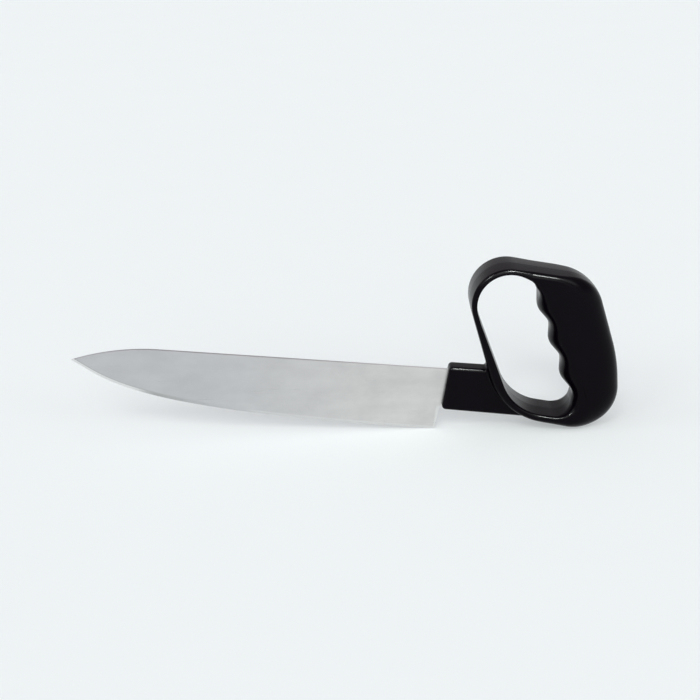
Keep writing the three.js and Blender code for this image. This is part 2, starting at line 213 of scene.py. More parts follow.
def evaluated_mesh(source: Object, name: str) -> Mesh:
    """Turns an object and its modifiers into a plain mesh.

    Args:
        source: the object, which is left as it is.
        name: the new mesh's name.

    Returns:
        The new mesh.
    """
    depsgraph = bpy.context.evaluated_depsgraph_get()
    mesh = bpy.data.meshes.new_from_object(source.evaluated_get(depsgraph))
    mesh.name = name
    return mesh


def loft(rings: np.ndarray, endless: bool, name: str) -> Object:
    """Skins a row of closed rings that hold the same number of points.

    Args:
        rings: points as (ring, point, xyz), in metres.
        endless: joins the last ring to the first; otherwise both ends are capped.
        name: the object's name.

    Returns:
        A closed object.
    """
    count, size = rings.shape[:2]
    runs = count if endless else count - 1
    start = np.arange(runs)[:, None] * size
    following = (np.arange(runs)[:, None] + 1) % count * size
    j = np.arange(size)[None, :]
    k = (j + 1) % size
    quads = np.stack([start + j, start + k, following + k, following + j], axis=-1)
    faces = quads.reshape(-1, 4).tolist()
    if not endless:
        faces.append(list(range(size - 1, -1, -1)))
        faces.append(list(range((count - 1) * size, count * size)))
    mesh = bpy.data.meshes.new(name)
    mesh.from_pydata(rings.reshape(-1, 3).tolist(), [], faces)
    mesh.validate()
    return show(mesh, name)


def smooth_shading(mesh: Mesh, sharpest: float) -> None:
    """Shades a mesh smooth, apart from edges that turn by more than an angle.

    Args:
        mesh: the mesh to shade.
        sharpest: the angle in degrees.
    """
    mesh.shade_smooth()
    mesh.set_sharp_from_angle(angle=math.radians(sharpest))


def smoothstep(value: np.ndarray, low: float, high: float) -> np.ndarray:
    """0 below low, 1 above high, and a smooth rise between them."""
    t = np.clip((value - low) / (high - low), 0, 1)
    return t * t * (3 - 2 * t)


def blend(start: np.ndarray, end: float, share: np.ndarray) -> np.ndarray:
    """Values that go from start to end as the share goes from 0 to 1."""
    return start + (end - start) * share


# Finishes


@dataclass(frozen=True)
class Finish:
    """What the finishes share: a tone and a roughness that wander with a pattern."""

    colour: str
    second_colour: str
    roughness: float
    roughness_spread: float = 0.0

    @staticmethod
    def start(name: str) -> tuple[Material, Node, NodeSocket]:
        """Starts a material.

        Args:
            name: what the real material is.

        Returns:
            The material, its shader, and where points are on the piece, in metres.
        """
        made = bpy.data.materials.new(name)
        made.use_nodes = True
        place = add_node(made.node_tree, "ShaderNodeTexCoord", {}).outputs["Object"]
        return made, made.node_tree.nodes["Principled BSDF"], place

    def wander(self, shader: Node, pattern: NodeSocket) -> NodeSocket:
        """Lets the shader's colour go between both tones with a pattern.

        Args:
            shader: the material's shader.
            pattern: goes from 0 at the first tone to 1 at the second.

        Returns:
            The colour.
        """
        tree = shader.id_data
        tones = {"Factor": pattern, 6: linear(self.colour), 7: linear(self.second_colour)}
        tone = add_node(tree, "ShaderNodeMix", tones, data_type="RGBA").outputs[2]
        tree.links.new(tone, shader.inputs["Base Color"])
        return tone

    def roughen(
        self,
        shader: Node,
        pattern: NodeSocket,
        low: float = NOISE_LOW,
        high: float = NOISE_HIGH,
    ) -> None:
        """Lets the shader's roughness follow a pattern.

        Args:
            shader: the material's shader.
            pattern: what the roughness follows.
            low: where the pattern gives the least roughness.
            high: where it gives the most.
        """
        tree = shader.id_data
        limits = {
            "Value": pattern,
            "From Min": low,
            "From Max": high,
            "To Min": self.roughness - self.roughness_spread,
            "To Max": self.roughness + self.roughness_spread,
        }
        rough = add_node(tree, "ShaderNodeMapRange", limits)
        tree.links.new(rough.outputs[0], shader.inputs["Roughness"])


class Measure(Enum):
    """What a mark on the steel is measured by."""

    ALONG = "along the knife, from its middle"
    ABOVE_EDGE = "up from the cutting edge"
    HEEL_END = "1 along the heel's end"
    SPINE_TOP = "1 on top of the spine"
    CLOUD = "how cloudy the belt left it"

    @property
    def unit(self) -> float:
        """A millimetre for lengths, and 1 for shares."""
        return MM if self in (Measure.ALONG, Measure.ABOVE_EDGE) else 1.0


@dataclass(frozen=True)
class Ramp:
    """A share that goes from 0 to 1 between two measures, of which either may be higher."""

    measure: Measure
    start: float
    end: float
    course: str = "SMOOTHSTEP"


@dataclass(frozen=True)
class ToneOrPaintedLightMark:
    """A tone laid where all of its ramps are up: the belt's clouds, or painted highlights, reflections
    and shade.
    """

    colour: str
    strength: float
    ramps: tuple[Ramp, ...]


@dataclass(frozen=True)
class SatinStainless(Finish):
    """Stainless blade steel, ground flat and then satin finished along its length.

    It gives the eye a soft even grey that takes its tone from what it faces, with
    faint cloudy patches left by the grinding belt and very fine lines along the blade.
    Its colour also holds painted light: a paler heel, pale bevels, spine top and heel
    end, and a dark line above the tip's bevel.
    """

    colour: str = "#c4c4c6"
    # The second colour is the paler heel's: painted reflection of the lit floor near the heel.
    second_colour: str = "#d5d3d1"
    roughness: float = 0.3
    roughness_spread: float = 0.03
    cloud_length: float = 24.0
    cloud_height: float = 11.0
    # The real lines are about 0.1 mm apart: they are drawn coarser, so that they show.
    line_pitch: float = 0.8
    line_length: float = 60.0
    line_height: float = 0.0012
    line_strength: float = 0.12
    # Marks in millimetres along the knife from its middle and above the edge: the clouds are the belt's,
    # and all the others are painted reflections, highlights and a painted dark line.
    # Paler towards the heel: painted reflection of the lit floor.
    heel_painted_reflection: Ramp = Ramp(Measure.ALONG, -100.0, 40.0)
    clouds: ToneOrPaintedLightMark = ToneOrPaintedLightMark("#b0aeb0", 0.36, (Ramp(Measure.CLOUD, 0.35, 0.68, "LINEAR"),))
    # A darker line just above the tip's bevel: painted dark reflection.
    dark_reflection_line: ToneOrPaintedLightMark = ToneOrPaintedLightMark(
        "#adadac", 1.0, (Ramp(Measure.ABOVE_EDGE, 2.6, 1.5), Ramp(Measure.ALONG, -60.0, -118.0))
    )
    # A pale bevel near the tip: painted highlight, where the bevel mirrors the bright floor.
    tip_bevel_highlight: ToneOrPaintedLightMark = ToneOrPaintedLightMark(
        "#e4e4e3", 1.0, (Ramp(Measure.ABOVE_EDGE, 1.775, 1.5), Ramp(Measure.ALONG, -104.0, -118.0))
    )
    # A fainter pale bevel towards the heel: painted highlight.
    heel_bevel_highlight: ToneOrPaintedLightMark = ToneOrPaintedLightMark(
        "#e4e4e3", 0.35, (Ramp(Measure.ABOVE_EDGE, 1.775, 1.5), Ramp(Measure.ALONG, -60.0, -46.0))
    )
    # A pale spine top towards the heel: painted highlight.
    spine: ToneOrPaintedLightMark = ToneOrPaintedLightMark(
        "#f8f8f7", 1.0, (Ramp(Measure.SPINE_TOP, 0.3, 0.7), Ramp(Measure.ALONG, -30.0, 35.0))
    )
    # A pale strip along the heel's end: painted highlight.
    heel_end: ToneOrPaintedLightMark = ToneOrPaintedLightMark(
        "#dcdcdb", 1.0, (Ramp(Measure.HEEL_END, 0.3, 0.7), Ramp(Measure.ABOVE_EDGE, 16.0, 12.0))
    )

    def material(self) -> Material:
        """Builds the material.

        Returns:
            The new material.
        """
        made, shader, place = self.start("satin_steel_and_painted_light")
        tree = made.node_tree
        shader.inputs["Metallic"].default_value = 1.0
        stretch = (1 / (self.cloud_length * MM), 1.0, 1 / (self.cloud_height * MM))
        cloudy = add_node(tree, "ShaderNodeMapping", {"Vector": place, "Scale": stretch})
        belt = {"Vector": cloudy.outputs[0], "Scale": 1.0, "Detail": 4.0, "Roughness": 0.62}
        clouds = add_node(tree, "ShaderNodeTexNoise", belt).outputs["Fac"]
        tree.links.new(self.tone_and_painted_light(tree, place, clouds), shader.inputs["Base Color"])
        pitch = (1 / (self.line_length * MM), 1.0, 1 / (self.line_pitch * MM))
        lined = add_node(tree, "ShaderNodeMapping", {"Vector": place, "Scale": pitch})
        satin = {"Vector": lined.outputs[0], "Scale": 1.0, "Detail": 3.0, "Roughness": 0.7}
        lines = add_node(tree, "ShaderNodeTexNoise", satin).outputs["Fac"]
        self.roughen(shader, lines)
        relief = {"Height": lines, "Strength": self.line_strength, "Distance": self.line_height * MM}
        bump = add_node(tree, "ShaderNodeBump", relief)
        tree.links.new(bump.outputs[0], shader.inputs["Normal"])
        return made

    def tone_and_painted_light(self, tree: NodeTree, place: NodeSocket, clouds: NodeSocket) -> NodeSocket:
        """The steel's colour: cloudy, with painted reflection that makes it paler towards the heel, and
        painted highlights and a painted dark line along its edges.

        Some marks follow the edge, so they read an attribute that the blade's tree stores:
        X is 1 along the heel's end, Y is 1 on top of the spine, and Z is the height above
        the edge.

        Args:
            tree: the material's node tree.
            place: where the point is on the piece, in metres.
            clouds: the belt's clouds.

        Returns:
            The colour.
        """
        stored = add_node(tree, "ShaderNodeAttribute", {}, attribute_name=GRIND_PLACE)
        kept = add_node(tree, "ShaderNodeSeparateXYZ", {0: stored.outputs["Vector"]}).outputs
        measures = {
            Measure.ALONG: add_node(tree, "ShaderNodeSeparateXYZ", {0: place}).outputs["X"],
            Measure.ABOVE_EDGE: kept["Z"],
            Measure.HEEL_END: kept["X"],
            Measure.SPINE_TOP: kept["Y"],
            Measure.CLOUD: clouds,
        }
        # The paler heel is painted reflection.
        heel = ToneOrPaintedLightMark(self.second_colour, 1.0, (self.heel_painted_reflection,))
        # All these but the clouds are painted light.
        marks = (heel, self.clouds, self.dark_reflection_line, self.tip_bevel_highlight, self.heel_bevel_highlight, self.spine, self.heel_end)
        tone: Any = linear(self.colour)
        for mark in marks:
            share: Any = mark.strength
            for ramp in mark.ramps:
                limits = {
                    "Value": measures[ramp.measure],
                    "From Min": ramp.start * ramp.measure.unit,
                    "From Max": ramp.end * ramp.measure.unit,
                }
                up = add_node(tree, "ShaderNodeMapRange", limits, interpolation_type=ramp.course)
                both = {0: up.outputs[0], 1: share}
                share = add_node(tree, "ShaderNodeMath", both, operation="MULTIPLY").outputs[0]
            laid = {"Factor": share, 6: tone, 7: linear(mark.colour)}
            tone = add_node(tree, "ShaderNodeMix", laid, data_type="RGBA").outputs[2]
        return tone


@dataclass(frozen=True)
class MouldedBlackAbs(Finish):
    """Black ABS, injection moulded in a finely spark-eroded tool.

    It gives the eye a deep neutral black with a soft sheen that turns pale where the
    surface is seen edge on, and a grain that only just breaks up the highlights.
    """

    colour: str = "#040205"
    second_colour: str = "#070409"
    # ABS has about 1.53: it is lower here, because the real sides mirror little of the floor.
    ior: float = 1.15
    roughness: float = 0.22
    roughness_spread: float = 0.03
    handling_size: float = 22.0
    # The real grain is about 0.1 mm: it is drawn coarser, so that it shows.
    grain_size: float = 0.55
    grain_height: float = 0.012
    grain_strength: float = 0.25

    def material(self) -> Material:
        """Builds the material.

        Returns:
            The new material.
        """
        made, shader, place = self.start("moulded_black_abs")
        tree = made.node_tree
        shader.inputs["IOR"].default_value = self.ior
        worn = {"Vector": place, "Scale": 1 / (self.handling_size * MM), "Detail": 3.0, "Roughness": 0.55}
        handling = add_node(tree, "ShaderNodeTexNoise", worn).outputs["Fac"]
        self.wander(shader, handling)
        self.roughen(shader, handling)
        eroded = {"Vector": place, "Scale": 1 / (self.grain_size * MM), "Detail": 2.0}
        grain = add_node(tree, "ShaderNodeTexNoise", eroded).outputs["Fac"]
        relief = {"Height": grain, "Strength": self.grain_strength, "Distance": self.grain_height * MM}
        bump = add_node(tree, "ShaderNodeBump", relief)
        tree.links.new(bump.outputs[0], shader.inputs["Normal"])
        return made


@dataclass(frozen=True)
class TurnedPinSteel(Finish):
    """Mild steel dowel rod, turned and cut off square.

    It gives the eye a bright plain grey with fine rings round the pin.
    """

    colour: str = "#bdbdbf"
    second_colour: str = "#a9a9aa"
    roughness: float = 0.28
    roughness_spread: float = 0.06
    ring_pitch: float = 0.25

    def material(self) -> Material:
        """Builds the material.

        Returns:
            The new material.
        """
        made, shader, place = self.start("turned_mild_steel")
        shader.inputs["Metallic"].default_value = 1.0
        turned = {"Vector": place, "Scale": 1 / (self.ring_pitch * MM) / math.tau, "Distortion": 1.5}
        wave = add_node(made.node_tree, "ShaderNodeTexWave", turned, bands_direction="Y")
        rings = wave.outputs["Fac"]
        self.wander(shader, rings)
        self.roughen(shader, rings, low=0.0, high=1.0)
        return made


@dataclass(frozen=True)
class PaleSweepPaint(Finish):
    """Matt emulsion on a studio sweep: a cool off-white with a faint roller texture.

    Seen by the camera or in a reflection, a share of it is plain background, so that
    the knife's shadow stays as faint as on a lit sweep.
    """

    colour: str = "#eff3f4"
    second_colour: str = "#eef2f3"
    roughness: float = 1.0
    roller_size: float = 60.0
    background_share: float = 0.38

    def material(self) -> Material:
        """Builds the material.

        Returns:
            The new material.
        """
        made, shader, place = self.start("matt_emulsion_paint")
        tree = made.node_tree
        shader.inputs["Roughness"].default_value = self.roughness
        shader.inputs["Specular IOR Level"].default_value = 0.0
        rolled = {"Vector": place, "Scale": 1 / (self.roller_size * MM), "Detail": 2.0}
        tone = self.wander(shader, add_node(tree, "ShaderNodeTexNoise", rolled).outputs["Fac"])
        plain = add_node(tree, "ShaderNodeEmission", {"Color": tone})
        share = {0: seen_directly(tree), 1: self.background_share}
        shown = add_node(tree, "ShaderNodeMath", share, operation="MULTIPLY")
        both = {0: shown.outputs[0], 1: shader.outputs[0], 2: plain.outputs[0]}
        mixed = add_node(tree, "ShaderNodeMixShader", both)
        tree.links.new(mixed.outputs[0], tree.nodes["Material Output"].inputs["Surface"])
        return made


# Where the knife stands


@dataclass(frozen=True)
class RestPose:
    """How the blade's frame stands in the row's frame: tipped down and slid along X."""

    lean: float
    slide: float

    def to_row(self, points: np.ndarray) -> np.ndarray:
        """Places points of the blade's frame.

        Args:
            points: an array whose last axis is x, y, z in millimetres.

        Returns:
            The same points in the row's frame, in metres.
        """
        x, y, z = np.moveaxis(points, -1, 0)
        cosine, sine = math.cos(self.lean), math.sin(self.lean)
        along = x * cosine + z * sine + self.slide
        up = z * cosine - x * sine
        return np.stack([along, y, up], axis=-1) * MM


# Blade


@dataclass
class Blade:
    """The stamped, ground and sharpened blade with its hidden tang.

    Its node tree bends a box of points to shape. Along X the box follows the cutting edge,
    along Z it climbs in levels from the edge to the spine, and Y is the side.
    """

    length: float = 200.0
    height: float = 35.7
    spine_thickness: float = 1.6
    shoulder_thickness: float = 0.6
    bevel_width: float = 1.6
    edge_thickness: float = 0.12
    spine_break: float = 0.03
    tip_drop: float = 9.1
    nose_length: float = 47.6
    belly_start: float = 28.9
    belly_back: float = 20.2
    belly_down: float = 9.9
    handle_start: float = 5.2
    heel_setback: float = 2.8
    heel_reach: float = 1.0
    mouth_gap: float = 0.9
    tang_length: float = 22.0
    # Taller than the CAD's 19 mm, so that the heel's notch is as low as in the photo.
    tang_height: float = 21.4
    pin_diameter: float = 4.0
    pin_clearance: float = 0.3
    pin_drop: float = 9.5
    front_pin: float = 7.0
    rear_pin: float = 17.0
    # Towards the tip, bevel and spine break stay within these shares of the blade's depth,
    # and its thickness doesn't fall below this share of the edge's.
    largest_bevel_share: float = 0.5
    largest_break_share: float = 0.25
    thinnest_share: float = 0.2
    # Lifts the level above the heel's notch off the notch, so that the two don't merge.
    notch_step: float = 0.02
    weld_distance: float = 0.001
    # A face that turns further than this towards X is the end that the tang is drawn out of.
    faces_back: float = 0.9
    stations: int = 220
    edge_steps: int = 400
    notch_steps: int = 24
    drill_sides: int = 48
    sharpest: float = 4.0
    finish: SatinStainless = field(default_factory=SatinStainless)

    # Levels from the edge, over the bevel's shoulder, the heel's notch and the tang, to the spine
    LEVELS = 9
    NOTCH_FIRST = 2
    NOTCH_LAST = 5
    INPUTS = (
        "length", "height", "spine_thickness", "shoulder_thickness", "bevel_width", "edge_thickness",
        "spine_break", "tip_drop", "nose_length", "belly_start", "belly_back", "belly_down",
        "handle_start", "heel_setback", "heel_reach", "mouth_gap", "tang_length", "tang_height",
        "pin_hole_radius", "pin_drop", "front_pin", "rear_pin",
    )

    @property
    def pin_hole_radius(self) -> float:
        """Half of the tang's bores, which the dowels pass freely."""
        return self.pin_diameter / 2 + self.pin_clearance

    def sizes(self) -> dict[str, float]:
        """The tree's named inputs, in metres."""
        return {name.replace("_", " ").title(): getattr(self, name) * MM for name in self.INPUTS}

    def on_curve(
        self,
        tree: NodeTree,
        kind: str,
        corners: dict[str, tuple[Any, Any]],
        steps: int,
        share: Figure,
    ) -> tuple[Figure, Figure]:
        """Where the box's points are along a curve in the side view.

        Args:
            tree: the blade's node tree.
            kind: the type name of the curve's node.
            corners: x and z for each of the node's points.
            steps: how finely the curve is drawn.
            share: how far along it each point is, from 0 to 1.

        Returns:
            Their x and z.
        """
        drawn: dict[str, Any] = {"Resolution": steps}
        for name, (x, z) in corners.items():
            drawn[name] = add_node(tree, "ShaderNodeCombineXYZ", {"X": x, "Z": z}).outputs[0]
        sought = {"Curves": add_node(tree, kind, drawn).outputs[0], "Factor": share}
        how = {"mode": "FACTOR", "use_all_curves": True}
        found = add_node(tree, "GeometryNodeSampleCurve", sought, **how).outputs["Position"]
        x, _, z = Figure.of_vector(tree, found)
        return x, z

    def at_level(self, tree: NodeTree, level: Figure, values: list[Figure]) -> Figure:
        """Picks a number by the level that a point is on.

        Args:
            tree: the blade's node tree.
            level: the point's level.
            values: the numbers for all levels, from the edge up.

        Returns:
            The point's number.
        """
        switch = add_node(tree, "GeometryNodeIndexSwitch", {"Index": level}, data_type="FLOAT")
        for _ in range(self.LEVELS - len(switch.index_switch_items)):
            switch.index_switch_items.new()
        for number, value in enumerate(values):
            tree.links.new(value.socket, switch.inputs[number + 1])
        return Figure(tree, switch.outputs[0])

    def bent_box(self, tree: NodeTree, size: dict[str, Figure], pose: RestPose) -> NodeSocket:
        """Bends the box of points to the blade without its tang.

        Args:
            tree: the blade's node tree.
            size: the tree's inputs.
            pose: where the knife stands.

        Returns:
            The blade as geometry, with the places that its finish reads.
        """
        rows = {"Vertices X": self.stations, "Vertices Y": 2, "Vertices Z": self.LEVELS}
        box = add_node(tree, "GeometryNodeMeshCube", {"Size": (1.0, 1.0, 1.0), **rows})
        place = add_node(tree, "GeometryNodeInputPosition", {}).outputs[0]
        across, side, up = Figure.of_vector(tree, place)
        share = across + 0.5
        level = ((up + 0.5) * (self.LEVELS - 1)).work_out("ROUND")
        at_heel = share > 1 - 0.5 / self.stations
        is_spine = level > self.LEVELS - 1.5

        # The cutting edge
        tip_x = size["Length"] * -1.0
        tip_z = size["Height"] - size["Tip Drop"]
        edge = {
            "Start": (tip_x, tip_z),
            "Start Handle": (tip_x + size["Belly Back"], tip_z - size["Belly Down"]),
            "End Handle": (tip_x + size["Belly Start"], 0.0),
            "End": (0.0, 0.0),
        }
        kind = "GeometryNodeCurvePrimitiveBezierSegment"
        edge_x, edge_z = self.on_curve(tree, kind, edge, self.edge_steps, share)

        # The spine above it, straight and then falling on one arc to the tip
        nose_radius = (size["Nose Length"] ** 2.0 + size["Tip Drop"] ** 2.0) / (size["Tip Drop"] * 2.0)
        past_nose = (edge_x - (tip_x + size["Nose Length"])).least(0.0)
        nose_rise = (nose_radius ** 2.0 - past_nose ** 2.0).work_out("SQRT")
        spine_z = size["Height"] - nose_radius + nose_rise
        depth = (spine_z - edge_z).most(0.0)
        shoulder_z = edge_z + size["Bevel Width"].least(depth * self.largest_bevel_share)
        break_z = spine_z - size["Spine Break"].least(depth * self.largest_break_share)

        # The heel, and the small round where it turns under the tang
        tang_z = size["Height"] - size["Tang Height"]
        heel_x = size["Handle Start"] - size["Heel Setback"]
        mouth_x = size["Handle Start"] - size["Mouth Gap"]
        slope = (heel_x - size["Heel Reach"]) / tang_z
        round_z = tang_z - (mouth_x - heel_x)
        notch = {
            "Start": (round_z * slope + size["Heel Reach"], round_z),
            "Middle": (heel_x, tang_z),
            "End": (mouth_x, tang_z),
        }
        notch_share = (level - self.NOTCH_FIRST) / (self.NOTCH_LAST - self.NOTCH_FIRST)
        kind = "GeometryNodeCurveQuadraticBezier"
        notch_x, notch_z = self.on_curve(tree, kind, notch, self.notch_steps, notch_share)
        above_notch = (level > self.NOTCH_LAST + 0.5) * (self.notch_step * MM)
        flat = size["Height"] - size["Spine Break"] - size["Bevel Width"]
        climb = (notch_z + above_notch - size["Bevel Width"]) / flat
        between = climb * (break_z - shoulder_z) + shoulder_z
        # The heel's lowest corner is lifted on to the floor that the knife stands on.
        lowest = at_heel * size["Heel Reach"] * math.tan(pose.lean) + edge_z
        shoulder_x = shoulder_z * slope + size["Heel Reach"]
        tang_x = size["Handle Start"] + size["Spine Thickness"]
        notch_levels = self.NOTCH_LAST - self.NOTCH_FIRST + 1
        heights = [lowest, shoulder_z, *[between] * (self.LEVELS - 4), break_z, spine_z]
        shifts = [size["Heel Reach"], shoulder_x, *[notch_x] * notch_levels]
        shifts += [tang_x] * (self.LEVELS - len(shifts))
        z = self.at_level(tree, level, heights)
        x = self.at_level(tree, level, shifts) * at_heel + edge_x

        # Half the thickness: flat grind, bevel, and the broken corner of the spine
        half_shoulder = size["Shoulder Thickness"] * 0.5
        half_edge = size["Edge Thickness"] * 0.5
        grind_rise = (size["Spine Thickness"] - size["Shoulder Thickness"]) * 0.5 / size["Height"]
        ground = z * grind_rise + half_shoulder
        at_shoulder = (edge_z + size["Bevel Width"]) * grind_rise + half_shoulder
        bevel_rise = (at_shoulder - half_edge) / size["Bevel Width"]
        bevel = (z - edge_z) * bevel_rise + half_edge
        broken = (spine_z - break_z) * is_spine
        half = (ground.least(bevel) - broken).most(half_edge * self.thinnest_share)

        bent = add_node(tree, "ShaderNodeCombineXYZ", {"X": x, "Y": side.work_out("SIGN") * half, "Z": z})
        marks = add_node(tree, "ShaderNodeCombineXYZ", {"X": at_heel, "Y": is_spine, "Z": z - edge_z})
        noted = {"Geometry": box.outputs["Mesh"], "Name": GRIND_PLACE, "Value": marks.outputs[0]}
        marked = add_node(tree, "GeometryNodeStoreNamedAttribute", noted, data_type="FLOAT_VECTOR")
        moved = {"Geometry": marked.outputs[0], "Position": bent.outputs[0]}
        placed = add_node(tree, "GeometryNodeSetPosition", moved)
        weld = {"Geometry": placed.outputs[0], "Distance": self.weld_distance * MM}
        return add_node(tree, "GeometryNodeMergeByDistance", weld).outputs[0]

    def with_tang(self, tree: NodeTree, size: dict[str, Figure], blade: NodeSocket) -> NodeSocket:
        """Draws the tang out of the blade's end face and drills it for its two dowels.

        Args:
            tree: the blade's node tree.
            size: the tree's inputs.
            blade: the blade without its tang.

        Returns:
            The whole blade.
        """
        normal = add_node(tree, "GeometryNodeInputNormal", {}).outputs[0]
        place = add_node(tree, "GeometryNodeInputPosition", {}).outputs[0]
        back, *_ = Figure.of_vector(tree, normal)
        *_, up = Figure.of_vector(tree, place)
        end_face = (back > self.faces_back) * (up > size["Height"] - size["Tang Height"])
        pull = {
            "Mesh": blade,
            "Selection": end_face,
            "Offset": (1.0, 0.0, 0.0),
            "Offset Scale": size["Tang Length"] - size["Spine Thickness"],
            "Individual": False,
        }
        drawn = add_node(tree, "GeometryNodeExtrudeMesh", pull, mode="FACES").outputs["Mesh"]
        first = {"X": size["Handle Start"] + size["Front Pin"], "Z": size["Height"] - size["Pin Drop"]}
        step = {"X": size["Rear Pin"] - size["Front Pin"]}
        row = {
            "Count": 2,
            "Start Location": add_node(tree, "ShaderNodeCombineXYZ", first).outputs[0],
            "Offset": add_node(tree, "ShaderNodeCombineXYZ", step).outputs[0],
        }
        bit = {
            "Vertices": self.drill_sides,
            "Radius": size["Pin Hole Radius"],
            "Depth": size["Tang Height"],
        }
        turned = {
            "Points": add_node(tree, "GeometryNodeMeshLine", row).outputs[0],
            "Instance": add_node(tree, "GeometryNodeMeshCylinder", bit).outputs["Mesh"],
            "Rotation": (math.pi / 2, 0.0, 0.0),
        }
        drills = add_node(tree, "GeometryNodeInstanceOnPoints", turned).outputs[0]
        cut = {0: drawn, 1: add_node(tree, "GeometryNodeRealizeInstances", {0: drills}).outputs[0]}
        how = {"operation": "DIFFERENCE", "solver": "EXACT"}
        drilled = add_node(tree, "GeometryNodeMeshBoolean", cut, **how).outputs["Mesh"]
        # Drilling drops the stored places, so they are read again from the undrilled blade.
        kept = {"data_type": "FLOAT_VECTOR"}
        was = add_node(tree, "GeometryNodeInputNamedAttribute", {"Name": GRIND_PLACE}, **kept)
        nearest = {"Mesh": drawn, "Value": was.outputs["Attribute"]}
        read_back = add_node(tree, "GeometryNodeSampleNearestSurface", nearest, **kept)
        noted = {"Geometry": drilled, "Name": GRIND_PLACE, "Value": read_back.outputs["Value"]}
        return add_node(tree, "GeometryNodeStoreNamedAttribute", noted, **kept).outputs[0]

    def tree(self, material: Material, pose: RestPose) -> NodeTree:
        """Builds the node tree that makes the blade from its sizes.

        Args:
            material: the blade's finish.
            pose: where the knife stands.

        Returns:
            The geometry node group.
        """
        tree = bpy.data.node_groups.new("blade_from_sizes", "GeometryNodeTree")
        sizes = self.sizes()
        for name, value in sizes.items():
            socket = tree.interface.new_socket(name, in_out="INPUT", socket_type="NodeSocketFloat")
            socket.default_value = value
        tree.interface.new_socket("Geometry", in_out="OUTPUT", socket_type="NodeSocketGeometry")
        given = add_node(tree, "NodeGroupInput", {}).outputs
        size = {name: Figure(tree, given[name]) for name in sizes}
        stand_up = {
            "Geometry": self.with_tang(tree, size, self.bent_box(tree, size, pose)),
            "Translation": (pose.slide * MM, 0.0, 0.0),
            "Rotation": (0.0, pose.lean, 0.0),
        }
        stood = add_node(tree, "GeometryNodeTransform", stand_up)
        real = add_node(tree, "GeometryNodeRealizeInstances", {0: stood.outputs[0]})
        coat = {"Geometry": real.outputs[0], "Material": material}
        dressed = add_node(tree, "GeometryNodeSetMaterial", coat)
        add_node(tree, "NodeGroupOutput", {0: dressed.outputs[0]})
        return tree

    def build(self, pose: RestPose) -> Object:
        """Makes the blade piece, hangs it on the root body and hides its CAD node.

        Args:
            pose: where the knife stands.

        Returns:
            The blade.
        """
        tree = self.tree(self.finish.material(), pose)
        maker = show(bpy.data.meshes.new("blade_maker"), "blade_maker")
        modifier = maker.modifiers.new("blade_from_sizes", "NODES")
        modifier.node_group = tree
        sizes = self.sizes()
        for item in tree.interface.items_tree:
            if item.in_out == "INPUT":
                modifier[item.identifier] = sizes[item.name]
        mesh = evaluated_mesh(maker, "blade_steel")
        bpy.data.objects.remove(maker)
        smooth_shading(mesh, self.sharpest)
        piece = show(mesh, "blade_steel")
        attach(piece, BODY)
        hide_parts("blade")
        return piece


# Handle


@dataclass(frozen=True)
class Corner:
    """A corner of an outline, measured from where the handle starts, and its radius."""

    x: float
    z: float
    radius: float


@dataclass(frozen=True)
class GripSpan:
    """Directions from the opening's centre between which strap turns into grip."""

    top_start: float
    top_end: float
    bottom_end: float
    bottom_start: float

    def share(self, angle: np.ndarray) -> np.ndarray:
        """How far the strap has turned into the grip.

        Args:
            angle: directions in degrees.

        Returns:
            0 on the strap and 1 on the grip.
        """
        from_top = 1 - smoothstep(angle, self.top_end, self.top_start)
        from_bottom = smoothstep(angle, self.bottom_start, self.bottom_end)
        return from_top * from_bottom


@dataclass(frozen=True)
class EdgeRound:
    """How deep an edge of the grip rounds over, and across what share of its half width."""

    depth: float
    share: float


